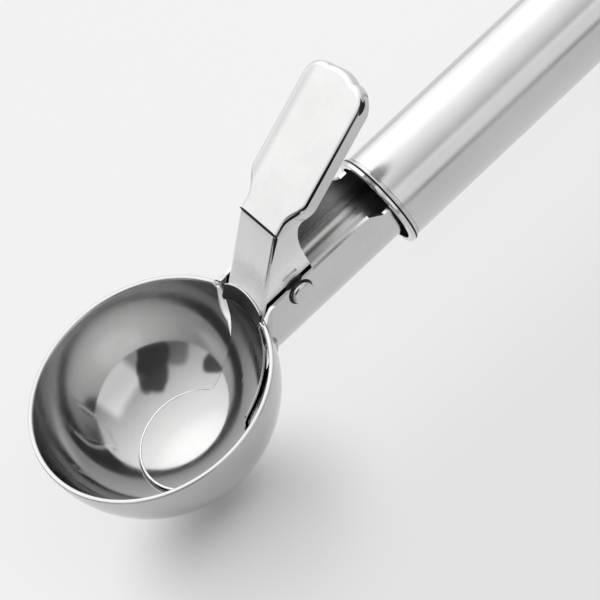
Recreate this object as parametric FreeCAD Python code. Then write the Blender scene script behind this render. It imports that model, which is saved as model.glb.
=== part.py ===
import FreeCAD, Part
import math
import os

from FreeCAD import Vector

# Lever ice cream scoop, millimetres, +Z up.
# The origin is the centre of the bowl's rim, the rim lies in the plane z = 0,
# the handle runs along +X and the lever pivots about Y.

# Bowl
bowl_radius = 26.0
bowl_wall = 1.0
bowl_centre_rise = 0.5
rim_round = 0.35
mouth_round = 0.9

# Handle tube
tube_radius = 10.1
tube_wall = 0.8
tube_axis_drop = 6.35
neck_reach = 32.3
tube_length = 104.0
tube_press_clearance = 0.02

# Rolled collar round the mouth of the tube
collar_stand = 0.4
collar_width = 1.6
collar_groove = 0.5
collar_seat_depth = 0.4
collar_lip = 0.35
collar_round = 0.3

# Neck channel, a folded sheet with a half-round floor
channel_radius = 7.55
channel_sheet = 0.8
channel_top = 1.0
channel_tail_reach = 17.7
channel_corner_reach = 4.7
channel_corner_slope = 40.0
channel_tube_clearance = 0.3

# Flared corners, where the bowl's wall turns into the flanks of the channel
flare_round = 5.0
flare_round_low = 0.5
flare_wall = 0.9
flare_start = 1.1
flare_overlap = 0.06

# Weld bead between bowl and channel
bead_size = 0.8

# Plug that holds the channel's tail in the tube
plug_reach = 7.7
plug_overlap = 3.0
plug_slot_clearance = 0.02

# End cap with its hanging eye
cap_spigot = 9.0
cap_dome = 6.0
eye_thickness = 4.6
eye_bore = 5.0
eye_wall = 3.2
eye_reach = 4.6

# Pivot
pivot_reach = 8.2
pivot_drop = 1.3
pin_radius = 1.5
pin_head_radius = 2.4
pin_head_height = 1.1
pin_head_round = 0.77
pin_press_clearance = 0.02
pin_run_clearance = 0.06
washer_radius = 3.2
washer_side_clearance = 0.08

# Thumb lever, one folded sheet
lever_sheet = 1.0
ear_half_width = 6.1
plate_foot_inset = 0.75
plate_foot_drop = 0.3
bend_reach = 10.3
bend_height = 14.2
bend_round = 1.2
pad_pitch = 27.85
pad_length = 34.3
pad_half_width = 8.95
pad_corner = 5.0
pad_end_bow = 0.8
pad_neck_start = 2.2
pad_neck_end = 9.0
pad_edge_round = 1.1
skirt_depth = 3.0
skirt_end_depth = 2.4
ear_boss_radius = 4.7
ear_back_reach = 5.0
ear_back_height = 5.5
ear_slot_length = 4.0
ear_slot_width = 0.9
ear_slot_height = 3.1

# Ejector, a spherical blade with a stem up the back of the bowl
blade_gap = 0.3
blade_sheet = 0.5
blade_edge_chamfer = 0.2
blade_radius = 11.4
blade_centre_x = 0.6
stem_half_width = 5.6
stem_fillet = 1.6
tab_shoulder = 0.2
tab_arch = 1.9

# Return spring and its bush
bush_wall = 0.5
bush_side_clearance = 0.3
spring_wire = 1.0
spring_turns = 4
spring_pitch = 1.5
spring_bush_gap = 0.15
spring_floor_leg_slope = 45.0
spring_pad_leg_slope = 60.0
spring_seat_gap = 0.1

# Sizes that follow from those above
BIG = 400.0
bowl_inner_radius = bowl_radius - bowl_wall
blade_outer_radius = bowl_inner_radius - blade_gap
blade_inner_radius = blade_outer_radius - blade_sheet
tube_inner_radius = tube_radius - tube_wall
tube_mouth_x = bowl_radius + neck_reach
tube_end_x = tube_mouth_x + tube_length
channel_tail_x = tube_mouth_x + channel_tail_reach
channel_corner_x = tube_mouth_x - channel_corner_reach
plug_start_x = tube_mouth_x + plug_reach
pivot_x = bowl_radius + pivot_reach
plate_foot_x = bowl_radius - plate_foot_inset
bend_x = bowl_radius + bend_reach
ear_back_x = pivot_x + ear_back_reach
tube_axis_z = -tube_axis_drop
channel_inner_radius = channel_radius - channel_sheet
pivot = Vector(pivot_x, 0, -pivot_drop)
bend = Vector(bend_x, 0, bend_height)
foot = Vector(plate_foot_x, 0, -plate_foot_drop)
pitch = math.radians(pad_pitch)
pad_along = Vector(math.cos(pitch), 0, math.sin(pitch))
pad_up = Vector(-math.sin(pitch), 0, math.cos(pitch))
plate_along = (bend - foot).normalize()
plate_out = Vector(-plate_along.z, 0, plate_along.x)
ear_inner = ear_half_width - lever_sheet
spring_coil_radius = pin_radius + pin_run_clearance + bush_wall + spring_bush_gap + spring_wire / 2


def ball(radius):
    """A sphere about the centre of the bowl."""
    return Part.makeSphere(radius, Vector(0, 0, bowl_centre_rise))


def rod(radius, start, end):
    """A round bar between two points."""
    axis = end - start
    return Part.makeCylinder(radius, axis.Length, start, axis)


def tube_bar(radius, x_start, x_end):
    """A round bar on the axis of the handle tube."""
    return rod(radius, Vector(x_start, 0, tube_axis_z), Vector(x_end, 0, tube_axis_z))


def cross_bar(radius, half_length, centre=None):
    """A round bar across the scoop, on the pivot unless another centre is given."""
    centre = centre or pivot
    side = Vector(0, half_length, 0)
    return rod(radius, centre - side, centre + side)


def across(edges, half_width):
    """A prism of equal reach to both sides from a closed outline in the plane y = 0."""
    face = Part.Face(Part.Wire(Part.__sortEdges__(edges)))
    face.translate(Vector(0, -half_width, 0))
    return face.extrude(Vector(0, 2 * half_width, 0))


def line(start, end):
    """Straight edge between two points."""
    return Part.LineSegment(start, end).toShape()


def below_rim():
    """Half space under the plane of the rim."""
    return Part.makeBox(BIG, BIG, BIG, Vector(-BIG / 2, -BIG / 2, -BIG))


def polygon(points):
    """Straight edges round a closed row of points."""
    return [line(a, b) for a, b in zip(points, points[1:] + points[:1])]


def slab(point, along, out, thickness):
    """A wide slab whose outer face passes through a point and which lies behind that face."""
    corners = [point - along * BIG, point + along * BIG]
    corners += [point + along * BIG - out * thickness, point - along * BIG - out * thickness]
    return across(polygon(corners), BIG / 4)


def fillet_edges(shape, radius, wanted):
    """Round the edges for which wanted(edge) is true."""
    return shape.makeFillet(radius, [edge for edge in shape.Edges if wanted(edge)])


def export(shape, node):
    """Write one node as a STEP file."""
    shape.exportStep(os.path.join("parts", node + ".step"))
    print(node, "solids", len(shape.Solids), "valid", shape.isValid(), "volume", round(shape.Volume, 2))


def channel_bar(radius, top, x_start, x_end):
    """A bar with the section of the channel: half-round below, straight flanks above."""
    axis = Vector(x_start, 0, tube_axis_z)
    left = Vector(x_start, radius, tube_axis_z)
    right = Vector(x_start, -radius, tube_axis_z)
    lift = Vector(0, 0, top - tube_axis_z)
    edges = [
        Part.Arc(left, axis - Vector(0, 0, radius), right).toShape(),
        line(right, right + lift),
        line(right + lift, left + lift),
        line(left + lift, left),
    ]
    face = Part.Face(Part.Wire(Part.__sortEdges__(edges)))
    return face.extrude(Vector(x_end - x_start, 0, 0))


def section_radius(radius, height):
    """Radius of a sphere about the centre of the bowl, cut at a height."""
    return math.sqrt(radius ** 2 - (height - bowl_centre_rise) ** 2)


def flare_round_at(height):
    """Radius of the flared corner, which shrinks from the flanks' top to the channel's axis."""
    share = (height - tube_axis_z) / (channel_top - tube_axis_z)
    return flare_round_low + (flare_round - flare_round_low) * share


def flare_wires(radius, wall_radius, flank, reach, height):
    """Round that touches wall and flank from outside, and the corner that it leaves, at a height."""
    wall = section_radius(wall_radius, height)
    x = math.sqrt((wall + radius) ** 2 - (flank + radius) ** 2)
    centre = Vector(x, -flank - radius, height)
    flat = Vector(centre.x, centre.y, 0)
    on_wall = flat * ((wall - reach) / flat.Length) + Vector(0, 0, height)
    on_flank = Vector(x, reach - flank, height)
    inside = Vector(min(on_wall.x, x - reach), reach - flank, height)
    circle = Part.Wire(Part.Circle(centre, Vector(0, 0, 1), radius + flare_overlap).toShape())
    return circle, Part.makePolygon([centre, on_flank, inside, on_wall, centre])


def flare_corner(extra, wall_radius, flank, reach, low, high):
    """Space between the bowl's wall, a flank and the flared round, between two heights."""
    levels = [flare_wires(flare_round_at(z) + extra, wall_radius, flank, reach, z) for z in (low, high)]
    rounds = Part.makeLoft([circle for circle, corner in levels], True, True)
    corners = Part.makeLoft([corner for circle, corner in levels], True, True)
    return corners.cut(rounds)


def both_sides(shape):
    """A shape of the right side together with its mirror image."""
    return shape.fuse(shape.mirror(Vector(0, 0, 0), Vector(0, 1, 0)))


def flare_cutter():
    """Opens the inside of the two flared corners, down to where the channel's floor starts."""
    high = channel_top + 1
    reach = bowl_wall + flare_start
    return both_sides(
        flare_corner(flare_wall, bowl_inner_radius, channel_inner_radius, reach, tube_axis_z, high)
    )


def on_mouth_edge(edge):
    """Whether an edge runs round the inner side of the bowl's opening to the channel."""
    middle = edge.valueAt((edge.FirstParameter + edge.LastParameter) / 2)
    off_wall = (middle - Vector(0, 0, bowl_centre_rise)).Length - bowl_inner_radius
    return abs(off_wall) < 0.01 and middle.x > bowl_radius / 2 and middle.z < channel_top


def make_bowl():
    """Hemispherical bowl, open upwards and open to the inside of the channel."""
    shell = ball(bowl_radius).cut(ball(bowl_inner_radius))
    bowl = shell.common(below_rim())
    bowl = fillet_edges(bowl, rim_round, lambda e: max(abs(e.BoundBox.ZMin), abs(e.BoundBox.ZMax)) < 0.01)
    mouth = channel_bar(channel_inner_radius, flare_round, bowl_inner_radius / 2, 2 * bowl_radius)
    mouth = fillet_edges(shell.cut(mouth), mouth_round, on_mouth_edge)
    return bowl.common(mouth).cut(flare_cutter())


def make_channel():
    """Folded neck channel, coped to the bowl in front and trimmed to enter the tube behind."""
    start = bowl_inner_radius / 2
    outer = channel_bar(channel_radius, channel_top, start, channel_tail_x)
    inner = channel_bar(channel_inner_radius, channel_top + 1, start - 1, channel_tail_x + 1)
    channel = outer.cut(inner)
    channel = channel.cut(ball(bowl_radius))
    channel = channel.cut(flare_cutter())
    channel = channel.cut(neck_top_cutter(False))
    channel = channel.cut(rear_corner_cutter())
    hole = cross_bar(pin_radius + pin_press_clearance, 2 * channel_radius)
    return channel.cut(hole)


def neck_top_cutter(with_flanks):
    """Space above the smooth step from the rim up to the flanks' top, and above these as well."""
    far_x = math.sqrt((bowl_radius + flare_round) ** 2 - (channel_radius + flare_round) ** 2)
    near_x = far_x * bowl_radius / (bowl_radius + flare_round)
    start = Vector(near_x, 0, 0)
    end = Vector(far_x, 0, channel_top)
    edges = biarc(start, Vector(1, 0, 0), end, Vector(1, 0, 0))
    last = end
    if with_flanks:
        last = Vector(far_x + flare_round, 0, channel_top)
        edges.append(line(end, last))
    first = Vector(near_x - flare_round, 0, 0)
    over = Vector(0, 0, channel_top + flare_round)
    edges.append(line(last, Vector(last.x, 0, over.z)))
    edges.append(line(Vector(last.x, 0, over.z), first + over))
    edges.append(line(first + over, first))
    edges.append(line(first, start))
    return across(edges, 4 * channel_radius)


def tail_top():
    """Height of the flanks inside the tube, where their top edges clear its bore."""
    reach = tube_inner_radius - channel_tube_clearance
    return tube_axis_z + math.sqrt(reach ** 2 - channel_radius ** 2)


def rear_corner_cutter():
    """Slopes the flanks down so that the tail enters the tube."""
    slope = math.radians(channel_corner_slope)
    drop = channel_top - tail_top()
    start = Vector(channel_corner_x, 0, channel_top)
    end = Vector(channel_corner_x + drop / math.tan(slope), 0, tail_top())
    far = 2 * channel_tail_x
    over = Vector(0, 0, 1)
    points = [start, end, Vector(far, 0, end.z), Vector(far, 0, start.z) + over, start + over]
    return across(polygon(points), 2 * channel_radius)


def make_weld():
    """Bead where the channel meets the outside of the bowl, with the two flared corners."""
    start = bowl_inner_radius / 2
    end = bowl_radius + 2 * bead_size
    wide = channel_bar(channel_radius + bead_size, -bead_size, start, end)
    narrow = channel_bar(channel_radius, channel_top + 1, start - 1, bowl_radius + 2 * flare_round)
    bead = wide.common(ball(bowl_radius + bead_size)).common(
        Part.makeBox(BIG, BIG, BIG, Vector(-BIG / 2, -BIG / 2, tube_axis_z - BIG))
    )
    reach = bowl_wall / 2
    corner = flare_corner(0, bowl_radius, channel_radius, reach, tube_axis_z, channel_top + 1)
    weld = bead.fuse(both_sides(corner))
    weld = weld.cut(narrow).cut(ball(bowl_radius))
    return weld.cut(flare_cutter()).cut(neck_top_cutter(True)).removeSplitter()


def make_tube():
    """Handle tube with a turned-down spigot in front for the collar."""
    spigot_radius = tube_radius - collar_seat_depth
    shoulder_x = tube_mouth_x + collar_width + collar_groove
    body = tube_bar(tube_radius, shoulder_x, tube_end_x)
    spigot = tube_bar(spigot_radius, tube_mouth_x + collar_lip, shoulder_x)
    bore = tube_bar(tube_inner_radius, tube_mouth_x - 1, tube_end_x + 1)
    return body.fuse(spigot).cut(bore).removeSplitter()


def make_collar():
    """Rounded collar that closes over the front end of the tube."""
    ring = tube_bar(tube_radius + collar_stand, tube_mouth_x, tube_mouth_x + collar_width)
    ring = fillet_edges(ring, collar_round, lambda e: e.BoundBox.XLength < 0.01)
    seat = tube_bar(tube_radius - collar_seat_depth, tube_mouth_x + collar_lip, tube_end_x)
    bore = tube_bar(tube_inner_radius, tube_mouth_x - 1, tube_end_x)
    return ring.cut(seat).cut(bore)


def make_plug():
    """Plug in the tube, grooved for the tail of the channel."""
    end = channel_tail_x + plug_overlap
    plug = tube_bar(tube_inner_radius - tube_press_clearance, plug_start_x, end)
    gap = plug_slot_clearance
    outer = channel_bar(channel_radius + gap, tail_top() + gap, plug_start_x - 1, channel_tail_x + gap)
    inner = channel_bar(channel_inner_radius - gap, tail_top() + 1, plug_start_x - 2, end)
    return plug.cut(outer.cut(inner))


def make_cap():
    """Domed end cap with a spigot in the tube and a flat hanging eye."""
    axis_end = Vector(tube_end_x, 0, tube_axis_z)
    spigot = tube_bar(tube_inner_radius - tube_press_clearance, tube_end_x - cap_spigot, tube_end_x)
    dome_top = axis_end + Vector(cap_dome, 0, 0)
    dome_side = axis_end + Vector(0, 0, tube_radius)
    ellipse = Part.Ellipse(dome_side, dome_top, axis_end)
    arc = Part.ArcOfEllipse(ellipse, 0, math.pi / 2).toShape()
    edges = [arc, line(axis_end, dome_side), line(dome_top, axis_end)]
    half = Part.Face(Part.Wire(Part.__sortEdges__(edges)))
    dome = half.revolve(axis_end, Vector(1, 0, 0), 360)
    eye_centre = dome_top + Vector(eye_reach, 0, 0)
    up = Vector(0, 0, eye_thickness / 2)
    eye_radius = eye_bore / 2 + eye_wall
    eye = rod(eye_radius, eye_centre - up, eye_centre + up)
    root = Vector(axis_end.x, -eye_radius, axis_end.z - eye_thickness / 2)
    eye = eye.fuse(Part.makeBox(eye_centre.x - root.x, 2 * eye_radius, eye_thickness, root))
    cap = spigot.fuse(dome).fuse(eye).removeSplitter()
    bore = rod(eye_bore / 2, eye_centre - up * 2, eye_centre + up * 2)
    return cap.cut(bore)


def make_pin():
    """Rivet through the flanks and the ears, with a low head on each side."""
    shank = cross_bar(pin_radius, channel_radius)
    pin = shank
    for side in (-1, 1):
        seat = pivot + Vector(0, side * channel_radius, 0)
        out = Vector(0, side * pin_head_height, 0)
        head = rod(pin_head_radius, seat, seat + out)
        tip = (seat + out).y
        head = fillet_edges(head, pin_head_round, lambda e: abs(e.CenterOfMass.y - tip) < 0.01 and e.Closed)
        pin = pin.fuse(head)
    return pin.removeSplitter()


def make_washers():
    """Two thin washers on the pin, between ears and flanks."""
    washers = []
    for side in (-1, 1):
        start = pivot + Vector(0, side * (ear_half_width + washer_side_clearance), 0)
        end = pivot + Vector(0, side * (channel_inner_radius - washer_side_clearance), 0)
        washers.append(rod(washer_radius, start, end).cut(rod(pin_radius + pin_run_clearance, start, end)))
    return Part.Compound(washers)


def make_bush():
    """Bush on the pin, inside the spring."""
    half = ear_inner - bush_side_clearance
    inner_radius = pin_radius + pin_run_clearance
    return cross_bar(inner_radius + bush_wall, half).cut(cross_bar(inner_radius, 2 * half))


def pad_outline(inset):
    """Closed outline of the pad in its own plane, narrowing to the width of the ears at the bend."""

    def at(along, side):
        return bend + pad_along * along + Vector(0, side, 0)

    wide = pad_half_width - inset
    neck = ear_half_width - inset
    corner = pad_corner - inset
    end = pad_length - inset
    back = -2 * ear_boss_radius
    middle = (pad_neck_start + pad_neck_end) / 2
    diagonal = corner * (1 - math.sqrt(0.5))
    edges = []
    for side in (-1, 1):
        spline = Part.BSplineCurve()
        spline.interpolate(
            Points=[
                at(pad_neck_start, side * neck),
                at(middle, side * (neck + wide) / 2),
                at(pad_neck_end, side * wide),
            ],
            InitialTangent=pad_along,
            FinalTangent=pad_along,
        )
        edges.append(line(at(back, side * neck), at(pad_neck_start, side * neck)))
        edges.append(spline.toShape())
        edges.append(line(at(pad_neck_end, side * wide), at(end - corner, side * wide)))
        tip = at(end - pad_end_bow, side * (wide - corner))
        start = at(end - corner, side * wide)
        knee = at(end - pad_end_bow / 2 - diagonal, side * (wide - diagonal))
        edges.append(Part.Arc(start, knee, tip).toShape())
    left_tip = at(end - pad_end_bow, wide - corner)
    right_tip = at(end - pad_end_bow, corner - wide)
    edges.append(Part.Arc(right_tip, at(end, 0), left_tip).toShape())
    edges.append(line(at(back, -neck), at(back, neck)))
    return edges


def lever_block(inset):
    """Solid under the sheet's outer face, moved inwards by inset on every side."""
    depth = 3 * bend_height
    face = Part.Face(Part.Wire(Part.__sortEdges__(pad_outline(inset))))
    pad_part = face.extrude(pad_up * -depth)
    pad_part.translate(pad_up * -inset)
    half = ear_half_width - inset
    ears = Part.makeBox(BIG / 4, 2 * half, BIG / 4, Vector(0, -half, -BIG / 8))
    ears = ears.cut(slab(bend + pad_up * (BIG - inset), pad_along, pad_up, BIG))
    front = slab(bend + plate_out * (BIG - inset), plate_along, plate_out, BIG)
    behind = Part.makeBox(BIG, BIG, BIG, bend + Vector(pad_neck_start, -BIG / 2, -BIG / 2))
    block = pad_part.fuse(ears.cut(front).cut(behind)).removeSplitter()
    return block.cut(front)


def lever_profile():
    """Side view of the lever: foot, front plate, pad, skirt, back edge of the ears and boss."""
    def pad_point(along, depth):
        return bend + pad_along * along - pad_up * depth

    foot_low = foot - plate_along * lever_sheet
    top_front = foot_low + plate_out * skirt_depth
    top_bend = bend + (plate_out + pad_up) * skirt_depth
    top_end = pad_point(pad_length + skirt_depth, -skirt_depth)
    end_low = pad_point(pad_length + skirt_depth, skirt_end_depth)
    skirt_front = pad_point(pad_length - pad_corner, skirt_depth)
    end_inner = pad_point(pad_length - pad_corner / 2, skirt_end_depth)
    back_top = pad_point(pad_neck_end, skirt_depth)
    back_low = Vector(ear_back_x, 0, ear_back_height)
    boss_back = pivot + Vector(ear_boss_radius, 0, 0)
    tangent = tangent_below(foot_low + plate_out * -lever_sheet, pivot, ear_boss_radius)
    boss_low = pivot + Vector(ear_boss_radius, 0, -ear_boss_radius).normalize() * ear_boss_radius
    blend = blend_curve(back_top, pad_along, back_low, Vector(0, 0, 1))
    return [
        line(top_front, top_bend),
        line(top_bend, top_end),
        line(top_end, end_low),
        line(end_low, end_inner),
        line(end_inner, skirt_front),
        line(skirt_front, back_top),
        blend,
        line(back_low, boss_back),
        Part.Arc(boss_back, boss_low, tangent).toShape(),
        line(tangent, foot_low - plate_out * lever_sheet),
        line(foot_low - plate_out * lever_sheet, top_front),
    ]


def tangent_below(point, centre, radius):
    """Point where the line from a point touches a circle on its lower side."""
    to_centre = centre - point
    distance = math.hypot(to_centre.x, to_centre.z)
    heading = math.atan2(to_centre.z, to_centre.x) - math.asin(radius / distance)
    length = math.sqrt(distance ** 2 - radius ** 2)
    return point + Vector(math.cos(heading), 0, math.sin(heading)) * length


def blend_curve(start, start_direction, end, end_direction):
    """Smooth curve that leaves start against one direction and enters end against the other."""
    curve = Part.BSplineCurve()
    leaving = start_direction * -1
    entering = end_direction * -1
    curve.interpolate(Points=[start, end], InitialTangent=leaving, FinalTangent=entering)
    return curve.toShape()


def make_lever():
    """Front plate, pad with skirts and two ears, folded from one sheet."""
    outer = fillet_edges(lever_block(0), bend_round, on_bend)
    outer = fillet_edges(outer, pad_edge_round, on_pad_edge)
    inner = lever_block(lever_sheet)
    lever = outer.cut(inner).common(across(lever_profile(), 2 * pad_half_width))
    lever = lever.cut(ball(blade_outer_radius))
    lever = lever.cut(cross_bar(pin_radius + pin_run_clearance, 2 * channel_radius))
    return lever.cut(ear_slot())


def on_bend(edge):
    """True for the edge between the front plate and the pad."""
    return abs(edge.CenterOfMass.x - bend.x) < 0.01 and abs(edge.CenterOfMass.z - bend.z) < 0.01


def on_pad_edge(edge):
    """True for the edges round the top face of the pad, apart from the bend."""
    middle = edge.valueAt((edge.FirstParameter + edge.LastParameter) / 2)
    height = (middle - bend).dot(pad_up)
    along = (middle - bend).dot(pad_along)
    return abs(height) < 0.01 and along > 0 and abs(middle.y) + along > ear_half_width


def ear_slot():
    """Slot through both ears above the pin."""
    half = ear_slot_length / 2
    radius = ear_slot_width / 2
    middle = Vector(pivot_x, 0, ear_slot_height)
    ends = [middle - Vector(half - radius, 0, 0), middle + Vector(half - radius, 0, 0)]
    corner = ends[0] - Vector(0, 2 * ear_half_width, radius)
    bar = Part.makeBox(2 * (half - radius), 4 * ear_half_width, 2 * radius, corner)
    for end in ends:
        bar = bar.fuse(cross_bar(radius, 2 * ear_half_width, end))
    return bar


def make_ejector():
    """Spherical blade, its stem up the back of the bowl and a tab welded on the front plate."""
    shell = ball(blade_outer_radius).cut(ball(blade_inner_radius))
    low = Vector(blade_centre_x, 0, -2 * bowl_radius)
    high = Vector(blade_centre_x, 0, 2 * bowl_radius)
    disc = rod(blade_radius, low, high)
    side = Vector(0, stem_half_width, 0)
    strip = Part.makeBox(2 * bowl_radius, 2 * stem_half_width, 4 * bowl_radius, low - side)
    plan = disc.fuse(strip)
    meet_x = blade_centre_x + math.sqrt(blade_radius ** 2 - stem_half_width ** 2)
    plan = fillet_edges(
        plan,
        stem_fillet,
        lambda e: e.BoundBox.ZLength > 1
        and abs(e.CenterOfMass.x - meet_x) < 0.01
        and abs(abs(e.CenterOfMass.y) - stem_half_width) < 0.01,
    )
    before_plate = slab(foot + plate_out * BIG, plate_along, plate_out, BIG)
    above = Part.makeBox(BIG, BIG, BIG, Vector(-BIG / 2, -BIG / 2, -bowl_radius / 4))
    blade = shell.common(plan).cut(before_plate.common(above))
    blade = blade.makeChamfer(blade_edge_chamfer, [edge for edge in blade.Edges if on_blade_edge(edge)])
    return blade.common(below_rim()).fuse(ejector_tab()).removeSplitter()


def on_blade_edge(edge):
    """True for the edges round the hollow side of the blade and its stem."""
    middle = edge.valueAt((edge.FirstParameter + edge.LastParameter) / 2)
    hollow = abs((middle - Vector(0, 0, bowl_centre_rise)).Length - blade_inner_radius) < 0.01
    box = edge.BoundBox
    low_enough = box.ZMax < -plate_foot_drop - blade_sheet or box.YLength > 0.01
    return hollow and low_enough and abs(middle.y) > 0.01 and box.ZMax < 0


def ejector_tab():
    """Flat end of the stem, on the outer face of the front plate, with an arched top edge."""
    side = Vector(0, ear_half_width, 0)
    shoulder = foot + plate_along * tab_shoulder
    low = foot - plate_along * bowl_radius / 4
    edges = [
        Part.Arc(shoulder - side, shoulder + plate_along * tab_arch, shoulder + side).toShape(),
        line(shoulder + side, low + side),
        line(low + side, low - side),
        line(low - side, shoulder - side),
    ]
    face = Part.Face(Part.Wire(Part.__sortEdges__(edges)))
    return face.extrude(plate_out * blade_sheet).cut(ball(blade_inner_radius))


def arc_from(start, direction, end):
    """Arc that leaves start along a direction and ends at a point."""
    chord = end - start
    side = chord - direction * chord.dot(direction)
    if side.Length < 1e-9:
        return line(start, end)
    side.normalize()
    radius = chord.dot(chord) / (2 * chord.dot(side))
    centre = start + side * radius
    halfway = (start - centre) + (end - centre)
    return Part.Arc(start, centre + halfway.normalize() * radius, end).toShape()


def biarc(start, start_direction, end, end_direction):
    """Two tangent arcs between two points with given directions."""
    chord = end - start
    both = start_direction + end_direction
    a = both.dot(both) - 4
    b = chord.dot(both)
    c = chord.dot(chord)
    reach = (b - math.sqrt(b * b - a * c)) / a if abs(a) > 1e-9 else c / (2 * b)
    reach = abs(reach)
    joint = (start + start_direction * reach + end - end_direction * reach) * 0.5
    second = arc_from(end, end_direction * -1, joint)
    return [arc_from(start, start_direction, joint), second]


def spring_start_angle():
    """Angle round the pin where the coil starts, so that the floor leg leaves it along its slope."""
    return math.radians(270 - spring_floor_leg_slope)


def spring_all_turns():
    """Whole turns and the part turn up to the leg under the pad."""
    part_turn = (180 - spring_floor_leg_slope - spring_pad_leg_slope) / 360
    return spring_turns + part_turn


def helix_point(turn):
    """Point on the middle line of the spring after a number of turns."""
    angle = spring_start_angle() - 2 * math.pi * turn
    offset = Vector(math.cos(angle) * spring_coil_radius, 0, math.sin(angle) * spring_coil_radius)
    return pivot + offset + Vector(0, (turn - spring_all_turns() / 2) * spring_pitch, 0)


def helix_direction(turn):
    """Direction of the spring's middle line after a number of turns."""
    angle = spring_start_angle() - 2 * math.pi * turn
    rise = spring_pitch / (2 * math.pi)
    round_part = Vector(math.sin(angle), 0, -math.cos(angle)) * spring_coil_radius
    return (round_part + Vector(0, rise, 0)).normalize()


def floor_leg_length(start, direction):
    """Length at which a leg along a direction comes down on the channel's half-round floor."""
    clear = channel_inner_radius - spring_wire / 2 - spring_seat_gap
    above_axis = start.z - tube_axis_z
    a = direction.y ** 2 + direction.z ** 2
    b = start.y * direction.y + above_axis * direction.z
    c = start.y ** 2 + above_axis ** 2 - clear ** 2
    return (math.sqrt(b * b - a * c) - b) / a


def pad_leg_length(start, direction):
    """Length at which a leg along a direction meets the underside of the pad."""
    depth = lever_sheet + spring_wire / 2 + spring_seat_gap
    gap = (bend - pad_up * depth - start).dot(pad_up)
    return gap / direction.dot(pad_up)


def make_spring():
    """Torsion spring round the bush, with a leg on the channel's floor and one under the pad."""
    stations = [quarter / 4 for quarter in range(int(spring_all_turns() * 4) + 1)]
    stations.append(spring_all_turns())
    first = helix_point(0)
    first_direction = helix_direction(0)
    floor_end = first - first_direction * floor_leg_length(first, first_direction * -1)
    last = helix_point(spring_all_turns())
    last_direction = helix_direction(spring_all_turns())
    pad_end = last + last_direction * pad_leg_length(last, last_direction)
    edges = [line(floor_end, first)]
    for a, b in zip(stations, stations[1:]):
        edges += biarc(helix_point(a), helix_direction(a), helix_point(b), helix_direction(b))
    edges.append(line(last, pad_end))
    path = Part.Wire(Part.__sortEdges__(edges))
    section = Part.Wire(Part.Circle(floor_end, first_direction, spring_wire / 2).toShape())
    pipe = Part.BRepOffsetAPI.MakePipeShell(path)
    pipe.add(section)
    pipe.build()
    pipe.makeSolid()
    print("spring wire length", round(path.Length, 2), "least gap to itself", round(spring_gap(), 3))
    return pipe.shape()


def spring_gap():
    """Least distance between neighbouring turns of the spring, measured on points."""
    steps = 72
    count = int(spring_all_turns() * steps)
    points = [helix_point(i / steps) for i in range(count + 1)]
    least = BIG
    for i, point in enumerate(points):
        for other in points[i + steps // 2:]:
            least = min(least, (point - other).Length)
    return least - spring_wire


def main():
    os.makedirs("parts", exist_ok=True)
    export(make_bowl(), "bowl")
    export(make_channel(), "neck_channel")
    export(make_weld(), "neck_weld")
    export(make_tube(), "handle_tube")
    export(make_collar(), "front_collar")
    export(make_plug(), "tail_plug")
    export(make_cap(), "end_cap")
    export(make_pin(), "pivot_pin")
    export(make_washers(), "pivot_washers")
    export(make_bush(), "spring_bush")
    export(make_lever(), "thumb_lever")
    export(make_ejector(), "ejector_plate")
    export(make_spring(), "return_spring")


main()
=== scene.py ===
"""Visual model of the lever ice cream scoop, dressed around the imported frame."""

import math

import bpy
from mathutils import Matrix, Vector


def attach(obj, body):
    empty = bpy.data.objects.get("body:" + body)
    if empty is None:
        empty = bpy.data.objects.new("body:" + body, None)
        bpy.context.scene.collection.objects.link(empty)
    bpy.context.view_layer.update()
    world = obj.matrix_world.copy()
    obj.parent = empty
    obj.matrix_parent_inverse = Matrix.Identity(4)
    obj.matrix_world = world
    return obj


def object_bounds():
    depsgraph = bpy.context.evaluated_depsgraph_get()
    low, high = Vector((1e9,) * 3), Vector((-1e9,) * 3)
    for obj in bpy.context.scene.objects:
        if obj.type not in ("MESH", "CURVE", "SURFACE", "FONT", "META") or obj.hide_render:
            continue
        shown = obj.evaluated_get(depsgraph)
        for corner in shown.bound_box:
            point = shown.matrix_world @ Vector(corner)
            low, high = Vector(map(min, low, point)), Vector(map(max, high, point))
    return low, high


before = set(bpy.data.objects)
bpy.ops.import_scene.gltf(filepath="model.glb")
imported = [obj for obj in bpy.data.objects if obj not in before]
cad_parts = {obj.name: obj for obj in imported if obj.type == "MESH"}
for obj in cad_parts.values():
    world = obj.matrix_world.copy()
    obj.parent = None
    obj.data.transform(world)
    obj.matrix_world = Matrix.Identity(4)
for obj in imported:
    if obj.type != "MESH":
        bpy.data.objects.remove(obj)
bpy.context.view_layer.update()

# Camera: the photograph's viewing angle, in metres in the object's frame
CAMERA_PLACE = (-0.066957, -0.496149, 0.599430)
CAMERA_RIGHT = (0.72285, -0.59043, -0.35900)
CAMERA_UP = (0.67908, 0.51086, 0.52714)
CAMERA_BACK = (-0.12784, -0.62483, 0.77022)
LENS_MM = 240.0
SENSOR_MM = 36.0
CLIP_NEAR, CLIP_FAR = 0.01, 50.0

# Floor: side in metres, tone under the lamps, and tone of the bare paper
FLOOR_SIDE = 12.0
FLOOR_GREY = 0.69
FLOOR_SEEN = 0.885
# Painted shade on the floor: its tone falls off along y, as the light would: start, end, and
# the tone that is left
FLOOR_PAINTED_FALLOFF = (0.0, -0.055, 0.865)
# The shadow's middle on the floor, the distances over which bare paper takes over from it, and
# the share of bare paper at both
SHADOW_PLACE = (-0.005, -0.028)
SHADOW_REACH = (0.012, 0.034)
SHADOW_SHARE = (0.03, 0.85)

# Lamps: azimuth, elevation, distance and side in metres, power in watts
LAMPS = {
    "fill_lamp": (-30.0, 50.0, 1.6, 1.0, 9.0),
}

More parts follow.
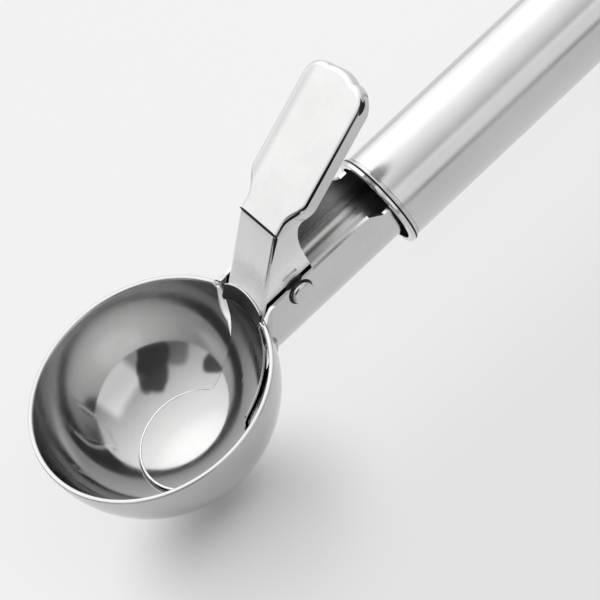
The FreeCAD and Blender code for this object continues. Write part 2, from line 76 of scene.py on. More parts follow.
# Studio: a big soft box above and behind, whose light falls off evenly across the room
BOX_AXIS = (84.0, 45.0)
ROOM_GREY = 0.60
ROOM_FALL = 1.00
ROOM_LEAST = 0.42
ROOM_DARKEST = 0.06
# The brighter middle of the soft box: closeness to its axis from and to, and added strength
BOX_CORE = (0.78, 0.96, 0.22)

# Screens: middle direction, half width and height, soft edge, the share of the room's tone that
# they leave, and the light that they add
FRONT_PANEL = ((-70.0, 27.0), 0.38, 0.30, 0.16, 1.0, 0.62)
DARK_ROOM = ((152.0, 10.0), 0.45, 0.15, 0.08, 0.12, 0.0)

# Dark things in front of the bowl, along the photograph's right and up directions: middle, half
# sizes, softness of the edge, share of the room's tone that they leave
SHADES = (
    ((-0.03, -0.33), (0.25, 0.48), 0.32, 0.13),
    ((-0.39, -0.50), (0.16, 0.21), 0.60, 0.42),
    ((-0.86, -0.30), (0.12, 0.14), 0.50, 0.12),
)
SHADE_ROUNDNESS = 3.0
SHADE_NOISE = 5.0
SHADE_WOBBLE = 0.35

# Polished steel: base grey, roughness, roughness change, bump depth in metres, and grain, which
# is how fine the pattern is along x, y and z, in strokes a metre
STEELS = {
    "bowl": (0.53, 0.09, 0.05, 0.000002, (90.0, 90.0, 900.0)),
    "neck_channel": (0.58, 0.15, 0.05, 0.000001, (60.0, 900.0, 900.0)),
    "neck_weld": (0.50, 0.26, 0.10, 0.000010, (1500.0, 700.0, 1500.0)),
    "handle_tube": (0.60, 0.19, 0.05, 0.000001, (40.0, 900.0, 900.0)),
    "front_collar": (0.66, 0.13, 0.06, 0.000003, (1500.0, 200.0, 200.0)),
    "tail_plug": (0.30, 0.30, 0.08, 0.000004, (1200.0, 200.0, 200.0)),
    "end_cap": (0.60, 0.12, 0.05, 0.000002, (1200.0, 250.0, 250.0)),
    "pivot_pin": (0.58, 0.16, 0.08, 0.000004, (500.0, 200.0, 500.0)),
    "pivot_washers": (0.05, 0.45, 0.08, 0.000004, (800.0, 800.0, 800.0)),
    "spring_bush": (0.30, 0.30, 0.08, 0.000004, (200.0, 1200.0, 200.0)),
    "thumb_lever": (0.62, 0.11, 0.05, 0.000001, (50.0, 900.0, 50.0)),
    "ejector_plate": (0.54, 0.09, 0.05, 0.000002, (90.0, 900.0, 90.0)),
    "return_spring": (0.30, 0.26, 0.08, 0.000003, (900.0, 900.0, 900.0)),
}
# Near-white steel for the rounded edges and the flares: its brightness is a painted highlight
EDGE_HIGHLIGHT_LOOK = (0.95, 0.34, 0.08, 0.000002, (300.0, 300.0, 300.0))
# Near-black steel for the dark lines and rings: painted shade and painted dark reflections
PAINTED_SHADE_LOOK = (0.03, 0.42, 0.08, 0.000002, (300.0, 300.0, 300.0))
FLARE_LEAN = (-0.3, 0.0, 1.3)

# Patterns of the steel: scale, detail and roughness of the noise
GRAIN_NOISE = (1.0, 4.0, 0.6)
SMUDGE_NOISE = (70.0, 3.0, 0.55)
FINE_NOISE = (900.0, 2.0, 0.6)
# What they do: noise from and to, and the tone, tone and roughness at both
SMUDGE_TONE = (0.3, 0.7, 0.96, 1.03)
FINE_TONE = (0.2, 0.8, 0.985, 1.01)
GRAIN_ROUGHNESS = (0.3, 0.7, -0.015, 0.02)
SMUDGE_RANGE = (0.35, 0.75)
GREEN_SHARE, BLUE_SHARE = 0.998, 0.994

# Tone changes, each with places in metres first and then the values at both
# Painted shade: the channel's values below darken its inner flank faces, most of all towards
# the lever
CHANNEL_INSIDE = (0.0066, 0.0073, 1.0, 0.0)
CHANNEL_ABOVE = (-0.010, -0.005)
CHANNEL_BELOW_TOP = (0.0007, 0.0009, 1.0, 0.0)
CHANNEL_ALONG = (0.044, 0.058, 0.34, 1.0)
CHANNEL_DULL = 0.08
BOWL_DULL = (-0.013, -0.005, 0.0, 0.10)
# Painted light: the front plate lighter than the pad, lighter still and less metallic towards
# its foot
PLATE_TONE = (0.0125, 0.0142, 1.12, 1.0)
PLATE_LOW_TONE = (0.0, 0.010, 1.35, 1.0)
PLATE_LOW_METAL = (0.002, 0.009, 0.30, 1.0)
PLATE_LOW_DULL = (0.002, 0.009, 0.25, 0.0)
# Painted reflection: a grey streak along the pad's left edge
PAD_SIDE_FALL = (0.0056, 0.0072, 1.0, 0.82)
PAD_SIDE_RISE = (0.0074, 0.0086, 0.0, 0.18)
# Painted shade: the ears' outer faces dark below the tops of the flanks
EAR_SKIN = (0.00012, 0.00004)
EAR_SUNK = (0.00135, 0.0015, 1.0, 0.0)
EAR_SUNK_TONE = 0.03
# Painted shade: the ejector's flat tab darker, and the blade darker from its hollow up to the
# stem
TAB_SKIN = (0.00008, 0.00016, 1.0, 0.0)
TAB_ABOVE = (-0.0045, -0.0035)
TAB_TONE = 0.35
BLADE_TONE = (-0.018, -0.012, 1.0, 0.72)
BLADE_DULL = (-0.018, -0.010, 0.0, 0.10)
# How the flares' painted highlight fades away from the corner
FLARE_TONE = (0.0072, 0.0088, 1.0, 0.45)

# Sizes of the part that the added pieces follow, in metres
BOWL_RISE = 0.0005
BOWL_INSIDE = 0.025
RIM_MIDDLE = 0.0255
BLADE_HOLLOW = 0.0242
BLADE_EDGE = 0.0114
BLADE_MIDDLE = 0.0006
FOOT = Vector((0.02525, 0.0, -0.0003))
BEND = Vector((0.0363, 0.0, 0.0142))
TAB_SHEET = 0.0005
TAB_SHOULDER = 0.0002
TAB_ARCH = 0.0019
PLATE_ALONG = tuple((BEND - FOOT).normalized())
PLATE_OUT = (-PLATE_ALONG[2], 0.0, PLATE_ALONG[0])
PAD_PITCH = math.radians(27.85)
PAD_ALONG = Vector((math.cos(PAD_PITCH), 0.0, math.sin(PAD_PITCH)))
PAD_UP = Vector((-math.sin(PAD_PITCH), 0.0, math.cos(PAD_PITCH)))
SIDE = Vector((0.0, 1.0, 0.0))
UP = Vector((0.0, 0.0, 1.0))
EAR_HALF = 0.0061
PAD_HALF = 0.00895
PAD_LENGTH = 0.0343
PAD_CORNER = 0.005
PAD_BOW = 0.0008
PAD_NECK = (0.0022, 0.009)
PAD_ROUND = 0.0011
PIVOT = Vector((0.0342, 0.0, -0.0013))
FLANK = 0.00755
TUBE_AXIS = -0.00635
TUBE_MOUTH = 0.0583
MOUTH_HALF = 0.00675
COLLAR_RADIUS = 0.0105

# Added pieces: half width and half height of their sections at the thickest place, in metres
BLADE_BEAD = (0.00024, 0.00018)
TAB_BEAD = (0.00018, 0.00008)
FLARE_BEAD = (0.00115, 0.00032)
RIM_BEAD = (0.00046, 0.00022)
# Dark lines and rings: painted dark reflections along the pad's edge, painted shade along the
# bend, the ear's edge and round the rivet heads
PAD_EDGE_LINE = (0.00029, 0.00005)
PAD_TIP = (0.00060, 0.00005)
BEND_FOLD = (0.00030, 0.00005)
EAR_FOLD = (0.00038, 0.00010)
PIN_SEAT = (0.0003, 0.00004)

BLADE_BEAD_DROP = 0.00012
BLADE_BEAD_FROM = 44.0
TAB_BEAD_INSET = 0.0001
FLARE_TOP = -0.0002
FLARE_HEIGHT = 0.0132
FLARE_LEAST_HALF = 0.0056
FLARE_OUT, FLARE_BULGE = 0.00035, 0.0006
# Parts of the pad's outline that its two painted dark reflections take, in metres from the bend
PAD_EDGE_LINE_PART = (0.0, 0.030075)
PAD_TIP_PART = (0.0290725, 0.034486)
# Their angles down the pad's rounded edge, and the share at which they are thickest
PAD_EDGE_LINE_TURN, PAD_EDGE_LINE_PEAK = 47.0, 0.15
PAD_TIP_TURN, PAD_TIP_PEAK = 70.0, 0.45
PAD_LINE_LEAST = 0.15
PAD_LINE_POWER = 0.7
PAD_CORNER_PATH = PAD_CORNER * 1.4
PAD_CORNER_TURN = math.pi / 2 - 0.15
LINE_LIFT = 0.00001
BEND_FOLD_INSET = 0.0002
EAR_FOLD_START, EAR_FOLD_LENGTH = 0.0003, 0.0058
EAR_FOLD_THIN = 0.85
EAR_FOLD_SUNK = 0.00012
# The pins' painted shadow: ring radius, and its shift off the pin's axis
PIN_SEAT_RADIUS = 0.00255
PIN_SEAT_SHIFT = Vector((-0.0001, 0.0, 0.0002))
RIM_BEAD_FROM = 18.0
RIM_BEAD_DROP = 0.00004
# Painted shade of the collar's groove: how far behind the tube's mouth it lies
GROOVE_SHADE_BEHIND = 0.00105
# The section of the groove's painted shade: place along the tube and rise over the collar
GROOVE_SHADE_PROFILE = (
    (-0.00026, -0.00003),
    (-0.0002, 0.00002),
    (0.0002, 0.00002),
    (0.00026, -0.00003),
)
GROOVE_SHADE_STEPS = 96


class Nodes:
    """Adds nodes to one node tree and links them in a line of code each."""

    def __init__(self, tree):
        self.tree = tree
        self.tree.nodes.clear()

    def add(self, kind, inputs=None, **settings):
        node = self.tree.nodes.new(kind)
        for name, value in settings.items():
            setattr(node, name, value)
        for name, value in (inputs or {}).items():
            socket = node.inputs[name]
            if isinstance(value, bpy.types.NodeSocket):
                self.tree.links.new(value, socket)
            else:
                socket.default_value = value
        return node

    def math(self, operation, a, b=None):
        inputs = {0: a}
        if b is not None:
            inputs[1] = b
        return self.add("ShaderNodeMath", inputs, operation=operation).outputs[0]

    def vector(self, operation, a, b=None):
        inputs = {0: a}
        if b is not None:
            inputs[1] = b
        return self.add("ShaderNodeVectorMath", inputs, operation=operation)

    def dot(self, vector, direction):
        return self.vector("DOT_PRODUCT", vector, direction).outputs["Value"]

    def ramp(self, value, low, high, to_low=0.0, to_high=1.0, smooth=True):
        inputs = {
            "Value": value,
            "From Min": low,
            "From Max": high,
            "To Min": to_low,
            "To Max": to_high,
        }
        kind = "SMOOTHSTEP" if smooth else "LINEAR"
        node = self.add("ShaderNodeMapRange", inputs, interpolation_type=kind)
        return node.outputs["Result"]

    def mixed(self, share, none, full):
        """none where share is 0, full where it is 1."""
        return self.ramp(share, 0.0, 1.0, none, full, False)

    def noise(self, vector, scale, detail, roughness=0.5):
        inputs = {"Vector": vector, "Scale": scale, "Detail": detail, "Roughness": roughness}
        return self.add("ShaderNodeTexNoise", inputs).outputs[0]

    def stretched(self, vector, scale):
        node = self.add("ShaderNodeMapping", {"Vector": vector, "Scale": scale})
        return node.outputs["Vector"]


def seen_directly(nodes):
    """1 for camera, glossy and transmission rays, 0 for the others."""
    path = nodes.add("ShaderNodeLightPath")
    seen = nodes.math("MAXIMUM", path.outputs["Is Camera Ray"], path.outputs["Is Glossy Ray"])
    return nodes.math("MAXIMUM", seen, path.outputs["Is Transmission Ray"])


def direction(azimuth, elevation):
    """A unit vector: azimuth from +X towards +Y, elevation from the floor, in degrees."""
    a, e = math.radians(azimuth), math.radians(elevation)
    return (math.cos(e) * math.cos(a), math.cos(e) * math.sin(a), math.sin(e))


def screen_share(nodes, ray, middle, half_width, half_height, edge):
    """1 inside an upright screen, falling to 0 over its soft edge."""
    to_screen = Vector(direction(*middle))
    across = to_screen.cross(UP).normalized()
    along = across.cross(to_screen)
    side = nodes.math("ABSOLUTE", nodes.dot(ray, across))
    height = nodes.math("ABSOLUTE", nodes.dot(ray, along))
    wide = nodes.ramp(side, half_width - edge / 2, half_width + edge / 2, 1.0, 0.0)
    high = nodes.ramp(height, half_height - edge / 2, half_height + edge / 2, 1.0, 0.0)
    share = nodes.math("MULTIPLY", wide, high)
    ahead = nodes.ramp(nodes.dot(ray, to_screen), 0.0, 0.1)
    return nodes.math("MULTIPLY", share, ahead)


def shade_share(nodes, ray, middle, half, edge):
    """1 inside a rounded dark shape with an uneven outline, falling to 0 over its soft edge."""
    powers = []
    for axis, at, size in zip((CAMERA_RIGHT, CAMERA_UP), middle, half):
        off = nodes.math("DIVIDE", nodes.math("SUBTRACT", nodes.dot(ray, axis), at), size)
        powers.append(nodes.math("POWER", nodes.math("ABSOLUTE", off), SHADE_ROUNDNESS))
    off = nodes.math("ADD", *powers)
    uneven = nodes.mixed(nodes.noise(ray, SHADE_NOISE, 1.0), -SHADE_WOBBLE, SHADE_WOBBLE)
    share = nodes.ramp(nodes.math("ADD", off, uneven), 1.0 - edge, 1.0 + edge, 1.0, 0.0)
    ahead = nodes.ramp(nodes.dot(ray, CAMERA_BACK), -0.05, 0.05)
    return nodes.math("MULTIPLY", share, ahead)


def make_world():
    world = bpy.data.worlds.new("studio_room")
    world.use_nodes = True
    bpy.context.scene.world = world
    nodes = Nodes(world.node_tree)
    ray = nodes.add("ShaderNodeTexCoord").outputs["Generated"]
    near_box = nodes.dot(ray, direction(*BOX_AXIS))
    total = nodes.math("ADD", nodes.math("MULTIPLY", near_box, ROOM_FALL), ROOM_GREY)
    total = nodes.math("MAXIMUM", total, ROOM_LEAST)
    low, high, strength = BOX_CORE
    total = nodes.math("ADD", total, nodes.ramp(near_box, low, high, 0.0, strength))
    for middle, half_width, half_height, edge, left, added in (FRONT_PANEL, DARK_ROOM):
        share = screen_share(nodes, ray, middle, half_width, half_height, edge)
        total = nodes.math("MULTIPLY", total, nodes.mixed(share, 1.0, left))
        total = nodes.math("ADD", total, nodes.math("MULTIPLY", share, added))
    for middle, half, edge, left in SHADES:
        share = shade_share(nodes, ray, middle, half, edge)
        total = nodes.math("MULTIPLY", total, nodes.mixed(share, 1.0, left))
    total = nodes.math("MAXIMUM", total, ROOM_DARKEST)
    inputs = {"Color": (1.0, 1.0, 1.0, 1.0), "Strength": total}
    shade = nodes.add("ShaderNodeBackground", inputs)
    nodes.add("ShaderNodeOutputWorld", {"Surface": shade.outputs[0]})


def make_floor():
    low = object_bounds()[0][2]
    mesh = bpy.data.meshes.new("studio_floor")
    h = FLOOR_SIDE / 2
    corners = [(-h, -h, low), (h, -h, low), (h, h, low), (-h, h, low)]
    mesh.from_pydata(corners, [], [(0, 1, 2, 3)])
    floor = bpy.data.objects.new("studio_floor", mesh)
    bpy.context.collection.objects.link(floor)
    material = bpy.data.materials.new("floor_paper")
    material.use_nodes = True
    nodes = Nodes(material.node_tree)
    place = nodes.add("ShaderNodeTexCoord").outputs["Object"]
    # Painted shade: both the floor's lit colour and its glow fall off along y
    start, end, left = FLOOR_PAINTED_FALLOFF
    tone = nodes.ramp(nodes.dot(place, SIDE), end, start, left, 1.0)
    grey = nodes.math("MULTIPLY", tone, FLOOR_GREY)
    colour = nodes.add("ShaderNodeCombineColor", {"Red": grey, "Green": grey, "Blue": grey})
    diffuse = nodes.add("ShaderNodeBsdfDiffuse", {"Color": colour.outputs[0]})
    seen = nodes.math("MULTIPLY", tone, FLOOR_SEEN)
    paper = nodes.add("ShaderNodeEmission", {"Color": (1.0, 1.0, 1.0, 1.0), "Strength": seen})
    off = nodes.vector("DISTANCE", place, SHADOW_PLACE + (low,)).outputs["Value"]
    share = nodes.ramp(off, *SHADOW_REACH, *SHADOW_SHARE)
    share = nodes.math("MULTIPLY", seen_directly(nodes), share)
    inputs = {0: share, 1: diffuse.outputs[0], 2: paper.outputs[0]}
    mix = nodes.add("ShaderNodeMixShader", inputs)
    nodes.add("ShaderNodeOutputMaterial", {"Surface": mix.outputs[0]})
    mesh.materials.append(material)


def make_camera():
    data = bpy.data.cameras.new("camera")
    data.lens = LENS_MM
    data.sensor_width = SENSOR_MM
    data.clip_start = CLIP_NEAR
    data.clip_end = CLIP_FAR
    camera = bpy.data.objects.new("camera", data)
    bpy.context.collection.objects.link(camera)
    columns = (CAMERA_RIGHT, CAMERA_UP, CAMERA_BACK, CAMERA_PLACE)
    rows = [[column[i] for column in columns] for i in range(3)]
    camera.matrix_world = Matrix(rows + [[0, 0, 0, 1]])
    bpy.context.scene.camera = camera


def make_lamps():
    for name, (azimuth, elevation, distance, side, power) in LAMPS.items():
        data = bpy.data.lights.new(name, "AREA")
        data.shape = "SQUARE"
        data.size = side
        data.energy = power
        lamp = bpy.data.objects.new(name, data)
        bpy.context.collection.objects.link(lamp)
        place = Vector(direction(azimuth, elevation)) * distance
        lamp.location = place
        lamp.rotation_euler = (-place).to_track_quat("-Z", "Y").to_euler()
        lamp.visible_camera = False
        lamp.visible_glossy = False


def steel(name, grey, rough, rough_change, depth, grain, shift=None, lean=None):
    """Brushed and smudged steel.

    shift(nodes, place) gives a factor on the tone, added roughness and the share of bare metal.
    lean is added to the surface's direction, so that it reflects what lies that way.
    """
    material = bpy.data.materials.new(name + "_polished")
    material.use_nodes = True
    nodes = Nodes(material.node_tree)
    place = nodes.add("ShaderNodeTexCoord").outputs["Object"]
    lines = nodes.noise(nodes.stretched(place, grain), *GRAIN_NOISE)
    smudge = nodes.noise(place, *SMUDGE_NOISE)
    fine = nodes.noise(place, *FINE_NOISE)
    low, high, darker, lighter = SMUDGE_TONE
    tone = nodes.ramp(smudge, low, high, grey * darker, grey * lighter)
    tone = nodes.math("MULTIPLY", tone, nodes.ramp(fine, *FINE_TONE))
    factor, added, metal = shift(nodes, place) if shift else (1.0, 0.0, 1.0)
    tone = nodes.math("MULTIPLY", tone, factor)
    inputs = {
        "Red": tone,
        "Green": nodes.math("MULTIPLY", tone, GREEN_SHARE),
        "Blue": nodes.math("MULTIPLY", tone, BLUE_SHARE),
    }
    colour = nodes.add("ShaderNodeCombineColor", inputs)
    low, high = rough - rough_change / 2, rough + rough_change / 2
    roughness = nodes.ramp(smudge, *SMUDGE_RANGE, low, high)
    roughness = nodes.math("ADD", roughness, nodes.ramp(lines, *GRAIN_ROUGHNESS))
    roughness = nodes.math("ADD", roughness, added)
    inputs = {"Strength": 1.0, "Distance": depth, "Height": lines}
    if lean:
        facing = nodes.add("ShaderNodeNewGeometry").outputs["Normal"]
        facing = nodes.vector("ADD", facing, lean).outputs[0]
        inputs["Normal"] = nodes.vector("NORMALIZE", facing).outputs[0]
    bump = nodes.add("ShaderNodeBump", inputs)
    inputs = {
        "Base Color": colour.outputs[0],
        "Metallic": metal,
        "Roughness": roughness,
        "Normal": bump.outputs[0],
    }
    shader = nodes.add("ShaderNodeBsdfPrincipled", inputs)
    nodes.add("ShaderNodeOutputMaterial", {"Surface": shader.outputs[0]})
    return material


def channel_painted_shade(nodes, place):
    """Darker and duller on the inner faces of the two flanks, most of all beside the lever; the
    darkening is painted shade in the channel's hollow.
    """
    side = nodes.math("ABSOLUTE", nodes.dot(place, SIDE))
    above = nodes.ramp(nodes.dot(place, UP), *CHANNEL_ABOVE)
    top = nodes.ramp(nodes.dot(place, UP), *CHANNEL_BELOW_TOP)
    left = nodes.ramp(nodes.dot(place, (1.0, 0.0, 0.0)), *CHANNEL_ALONG)
    inside = nodes.ramp(side, *CHANNEL_INSIDE)
    share = nodes.math("MULTIPLY", nodes.math("MULTIPLY", inside, above), top)
    return nodes.mixed(share, 1.0, left), nodes.math("MULTIPLY", share, CHANNEL_DULL), 1.0


def bowl_tone(nodes, place):
    """Softer shine near the rim, where the bowl is polished less."""
    return 1.0, nodes.ramp(nodes.dot(place, UP), *BOWL_DULL), 1.0


def lever_painted_light(nodes, place):
    """Painted light and shade: lighter on the front plate, most of all low down, where it is
    also less metallic; duller at its foot; a painted grey reflection along the pad's left edge.

    The outer faces of the ears are dark below the tops of the flanks: painted shade.
    """
    height = nodes.dot(place, UP)
    tone = nodes.ramp(height, *PLATE_TONE)
    side = nodes.dot(place, SIDE)
    edge = nodes.ramp(side, *PAD_SIDE_FALL)
    edge = nodes.math("ADD", edge, nodes.ramp(side, *PAD_SIDE_RISE))
    tone = nodes.math("MULTIPLY", tone, edge)
    tone = nodes.math("MULTIPLY", tone, nodes.ramp(height, *PLATE_LOW_TONE))
    inner, outer = EAR_SKIN
    outside = nodes.ramp(nodes.math("ABSOLUTE", side), EAR_HALF - inner, EAR_HALF - outer)
    sunk = nodes.math("MULTIPLY", outside, nodes.ramp(height, *EAR_SUNK))
    tone = nodes.math("MULTIPLY", tone, nodes.mixed(sunk, 1.0, EAR_SUNK_TONE))
    metal = nodes.math("MAXIMUM", nodes.ramp(height, *PLATE_LOW_METAL), sunk)
    return tone, nodes.ramp(height, *PLATE_LOW_DULL), metal


def ejector_painted_shade(nodes, place):
    """Painted shade: darker on the flat tab, and a little darker and duller from the blade up
    to the stem.
    """
    plane = FOOT.dot(Vector(PLATE_OUT)) + TAB_SHEET
    out = nodes.math("SUBTRACT", nodes.dot(place, PLATE_OUT), plane)
    flat = nodes.ramp(nodes.math("ABSOLUTE", out), *TAB_SKIN)
    height = nodes.dot(place, UP)
    flat = nodes.math("MULTIPLY", flat, nodes.ramp(height, *TAB_ABOVE))
    stem = nodes.ramp(height, *BLADE_TONE)
    tone = nodes.math("MULTIPLY", stem, nodes.mixed(flat, 1.0, TAB_TONE))
    return tone, nodes.ramp(height, *BLADE_DULL), 1.0


def flare_highlight_fade(nodes, place):
    """Fades the flare's painted highlight away from the corner."""
    side = nodes.math("ABSOLUTE", nodes.dot(place, SIDE))
    return nodes.ramp(side, *FLARE_TONE), 0.0, 1.0


TONES = {
    "bowl": bowl_tone,
    "neck_channel": channel_painted_shade,
    "thumb_lever": lever_painted_light,
    "ejector_plate": ejector_painted_shade,
}


def dress_nodes():
    for name, look in STEELS.items():
        material = steel(name, *look, shift=TONES.get(name))
        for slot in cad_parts[name].material_slots:
            slot.material = material


def new_piece(name, verts, faces, smooth, material):
    mesh = bpy.data.meshes.new(name)
    mesh.from_pydata([tuple(v) for v in verts], [], faces)
    for polygon in mesh.polygons:
        polygon.use_smooth = smooth
    mesh.materials.append(material)
    mesh.validate()
    piece = bpy.data.objects.new(name, mesh)
    bpy.context.collection.objects.link(piece)
    return piece


def strip(name, stations, body, material, around=12):
    """A bead with an oval section. Each station: place, width vector, height vector."""
    verts = []
    for place, wide, high in stations:
        for i in range(around):
            a = 2 * math.pi * i / around
            verts.append(place + wide * math.cos(a) + high * math.sin(a))
    faces = []
    rows = len(stations)
    for row in range(rows - 1):
        here, there = row * around, (row + 1) * around
        for i in range(around):
            j = (i + 1) % around
            faces.append((here + i, here + j, there + j, there + i))
    faces.append(tuple(reversed(range(around))))
    faces.append(tuple((rows - 1) * around + i for i in range(around)))
    piece = new_piece(name, verts, faces, True, material)
    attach(piece, body)


def shares(steps):
    """Evenly spaced shares from 0 to 1."""
    return [i / steps for i in range(steps + 1)]


def taper(share, ends=0.12, least=0.15):
    """Thickness along a bead that thins out towards both ends."""
    near_end = min(share, 1.0 - share) / ends
    return least + (1.0 - least) * math.sin(min(near_end, 1.0) * math.pi / 2)


def blade_edge_bead(material):
    """Rounded edge round the blade, up to the stem on both sides, with a painted highlight."""
    wide, high = BLADE_BEAD
    stations = []
    for share in shares(90):
        a = math.radians(BLADE_BEAD_FROM + (360.0 - 2 * BLADE_BEAD_FROM) * share)
        out = Vector((math.cos(a), math.sin(a), 0.0))
        x, y = BLADE_MIDDLE + BLADE_EDGE * out.x, BLADE_EDGE * out.y
        z = BOWL_RISE - math.sqrt(BLADE_HOLLOW ** 2 - x * x - y * y) - BLADE_BEAD_DROP
        size = taper(share)
        stations.append((Vector((x, y, z)), out * wide * size, UP * high * size))
    strip("blade_edge_highlight", stations, "lever", material)


def tab_edge_bead(material):
    """Rounded edge along the arched top of the ejector's tab, with a painted highlight."""
    wide, high = TAB_BEAD
    arch = (EAR_HALF ** 2 + TAB_ARCH ** 2) / (2 * TAB_ARCH)
    stations = []
    for share in shares(32):
        y = (EAR_HALF - TAB_BEAD_INSET) * (2 * share - 1)
        rise = TAB_SHOULDER + math.sqrt(arch ** 2 - y * y) - (arch - TAB_ARCH)
        slope = -y / math.sqrt(arch ** 2 - y * y)
        across = (Vector(PLATE_ALONG) - SIDE * slope).normalized()
        place = FOOT + Vector(PLATE_ALONG) * rise + SIDE * y + Vector(PLATE_OUT) * TAB_SHEET
        size = taper(share, 0.06, 0.5)
        stations.append((place, across * wide * size, Vector(PLATE_OUT) * high * size))
    strip("tab_edge_highlight", stations, "lever", material)


def mouth_flare(name, sign, material):
    """Convex bead inside the bowl, down the corner where its wall opens to the channel."""
    wide, high = FLARE_BEAD
    stations = []
    for share in shares(40):
        z = FLARE_TOP - FLARE_HEIGHT * share
        reach = MOUTH_HALF
        if z < TUBE_AXIS:
            reach = math.sqrt(max(MOUTH_HALF ** 2 - (z - TUBE_AXIS) ** 2, 0.0))
        y = max(reach, FLARE_LEAST_HALF) + FLARE_OUT + FLARE_BULGE * math.sin(math.pi * share)
        x = math.sqrt(BOWL_INSIDE ** 2 - (z - BOWL_RISE) ** 2 - y * y)
        place = Vector((x, sign * y, z))
        inward = (UP * BOWL_RISE - place).normalized()
        across = inward.cross(UP).normalized() * sign
        size = math.sin(math.pi * min(1.0, share * 0.93 + 0.05)) ** 0.8
        stations.append((place, across * wide * size, inward * high * size))
    strip(name, stations, "handle", material, 20)


def pad_outline_point(left):
    """Place on the pad's right outline, left metres from the bend, and its outward angle."""
    neck_start, neck_end = PAD_NECK
    straight_end = PAD_LENGTH - PAD_CORNER
    waist = neck_end - neck_start
    if left <= neck_start:
        return left, EAR_HALF, 0.0
    left -= neck_start
    if left <= waist:
        part = left / waist
        ease = part * part * (3 - 2 * part)
        slope = 6 * part * (1 - part) * (PAD_HALF - EAR_HALF) / waist
        half = EAR_HALF + (PAD_HALF - EAR_HALF) * ease
        return neck_start + left, half, -math.atan(slope)
    left -= waist
    if left <= straight_end - neck_end:
        return neck_end + left, PAD_HALF, 0.0
    left -= straight_end - neck_end
    a = min(left / PAD_CORNER_PATH, 1.0) * PAD_CORNER_TURN
    along = straight_end + (PAD_CORNER - PAD_BOW) * math.sin(a)
    return along, PAD_HALF - PAD_CORNER * (1 - math.cos(a)), a


def pad_line(name, part, degrees, peak, section, material):
    """Painted dark reflection: a dark line along part of the pad's outline, degrees down its
    rounded edge.
    """
    first, last = part
    wide, high = section
    turn = math.radians(degrees)
    stations = []
    for share in shares(80):
        along, half, angle = pad_outline_point(first + (last - first) * share)
        outward = PAD_ALONG * math.sin(angle) - SIDE * math.cos(angle)
        inset = PAD_ROUND * (1 - math.sin(turn))
        depth = PAD_ROUND * (1 - math.cos(turn))
        place = BEND + PAD_ALONG * along - SIDE * half - outward * inset - PAD_UP * depth
        normal = outward * math.sin(turn) + PAD_UP * math.cos(turn)
        across = outward * math.cos(turn) - PAD_UP * math.sin(turn)
        near_end = min(share / peak, (1.0 - share) / min(1.0 - peak, 0.5), 1.0)
        size = PAD_LINE_LEAST + (1.0 - PAD_LINE_LEAST) * near_end ** PAD_LINE_POWER
        stations.append((place + normal * LINE_LIFT, across * wide * size, normal * high))
    strip(name, stations, "lever", material)


def bend_crease_shade(material):
    """Painted shade: a dark line along the bend between the pad and the front plate."""
    wide, high = BEND_FOLD
    turn = (PAD_PITCH + math.atan2(-PLATE_OUT[0], PLATE_OUT[2])) / 2
    normal = Vector((-math.sin(turn), 0.0, math.cos(turn)))
    across = Vector((math.cos(turn), 0.0, math.sin(turn)))
    stations = []
    for share in shares(24):
        y = (EAR_HALF - BEND_FOLD_INSET) * (1 - 2 * share)
        size = taper(share, 0.12, 0.3)
        place = BEND + SIDE * y - normal * LINE_LIFT
        stations.append((place, across * wide * size, normal * high))
    strip("bend_crease_shade", stations, "lever", material)


def ear_edge_shade(material):
    """Painted shade: a dark line from the bend down the edge between the front plate and the
    right ear.
    """
    wide, high = EAR_FOLD
    normal = (Vector(PLATE_OUT) - SIDE).normalized()
    across = (Vector(PLATE_OUT) + SIDE).normalized()
    corner = BEND - SIDE * EAR_HALF
    stations = []
    for share in shares(16):
        place = corner - Vector(PLATE_ALONG) * (EAR_FOLD_START + EAR_FOLD_LENGTH * share)
        place = place - normal * EAR_FOLD_SUNK
        stations.append((place, across * wide * (1 - EAR_FOLD_THIN * share), normal * high))
    strip("ear_edge_shade", stations, "lever", material)


def pin_shadow_ring(name, sign, material):
    """Painted shadow: a dark ring on the flank round the foot of a rivet head."""
    wide, high = PIN_SEAT
    stations = []
    for share in shares(40):
        a = 2 * math.pi * share
        out = Vector((math.cos(a), 0.0, math.sin(a)))
        place = PIVOT + SIDE * sign * FLANK + out * PIN_SEAT_RADIUS + PIN_SEAT_SHIFT
        stations.append((place, out * wide, SIDE * high))
    strip(name, stations, "handle", material)


def rim_bead(material):
    """Rolled top of the bowl's rim, from one side of the channel's mouth to the other."""
    wide, high = RIM_BEAD
    stations = []
    for share in shares(180):
        a = math.radians(RIM_BEAD_FROM + (360.0 - 2 * RIM_BEAD_FROM) * share)
        out = Vector((math.cos(a), math.sin(a), 0.0))
        size = taper(share, 0.02, 0.3)
        place = out * RIM_MIDDLE - UP * RIM_BEAD_DROP
        stations.append((place, out * wide * size, UP * high * size))
    strip("rim_bead", stations, "handle", material, 16)


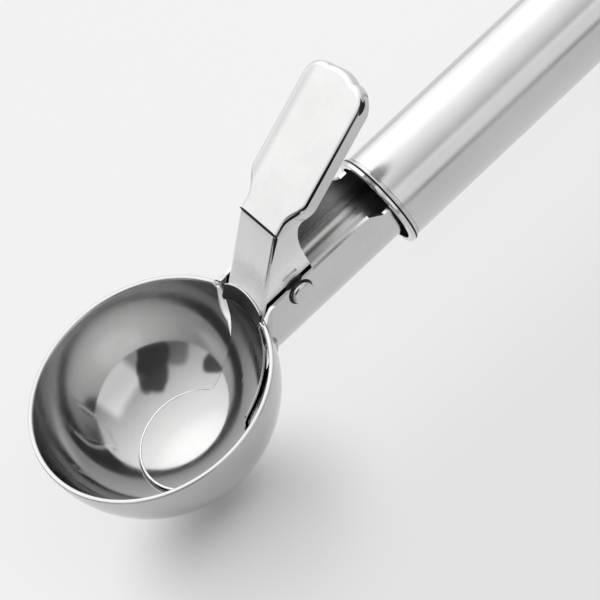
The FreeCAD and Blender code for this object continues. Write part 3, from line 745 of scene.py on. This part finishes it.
def collar_groove_shade(material):
    """Painted shade of a groove: a dark line round the collar, just behind its rounded lip."""
    start = TUBE_MOUTH + GROOVE_SHADE_BEHIND
    verts, faces = [], []
    for i in range(GROOVE_SHADE_STEPS):
        a = 2 * math.pi * i / GROOVE_SHADE_STEPS
        for offset, rise in GROOVE_SHADE_PROFILE:
            r = COLLAR_RADIUS + rise
            verts.append((start + offset, r * math.sin(a), TUBE_AXIS + r * math.cos(a)))
    n = len(GROOVE_SHADE_PROFILE)
    for i in range(GROOVE_SHADE_STEPS):
        j = (i + 1) % GROOVE_SHADE_STEPS
        for k in range(n):
            m = (k + 1) % n
            faces.append((i * n + k, j * n + k, j * n + m, i * n + m))
    piece = new_piece("collar_groove_shade", verts, faces, False, material)
    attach(piece, "handle")


def add_pieces():
    # Painted highlight: near-white steel for the rounded edges
    edge = steel("edge", *EDGE_HIGHLIGHT_LOOK)
    # Painted shade and dark reflections: near-black steel for the dark lines and rings
    shade_paint = steel("shade_paint", *PAINTED_SHADE_LOOK)
    blade_edge_bead(edge)
    tab_edge_bead(edge)
    # Painted highlight: the flares take the near-white edge steel, with shading leaning
    # upwards, for the bright streak down each corner
    flare = steel("flare", *EDGE_HIGHLIGHT_LOOK, shift=flare_highlight_fade, lean=FLARE_LEAN)
    mouth_flare("mouth_flare_left", 1.0, flare)
    mouth_flare("mouth_flare_right", -1.0, flare)
    pad_line("pad_edge_dark_reflection", PAD_EDGE_LINE_PART, PAD_EDGE_LINE_TURN, PAD_EDGE_LINE_PEAK, PAD_EDGE_LINE, shade_paint)
    pad_line("pad_tip_dark_reflection", PAD_TIP_PART, PAD_TIP_TURN, PAD_TIP_PEAK, PAD_TIP, shade_paint)
    bend_crease_shade(shade_paint)
    ear_edge_shade(shade_paint)
    pin_shadow_ring("pin_shadow_ring_left", 1.0, shade_paint)
    pin_shadow_ring("pin_shadow_ring_right", -1.0, shade_paint)
    rim_bead(bpy.data.materials["bowl_polished"])
    collar_groove_shade(shade_paint)


make_camera()
make_world()
make_floor()
make_lamps()
dress_nodes()
add_pieces()

scene = bpy.context.scene
scene.view_settings.view_transform = "Standard"
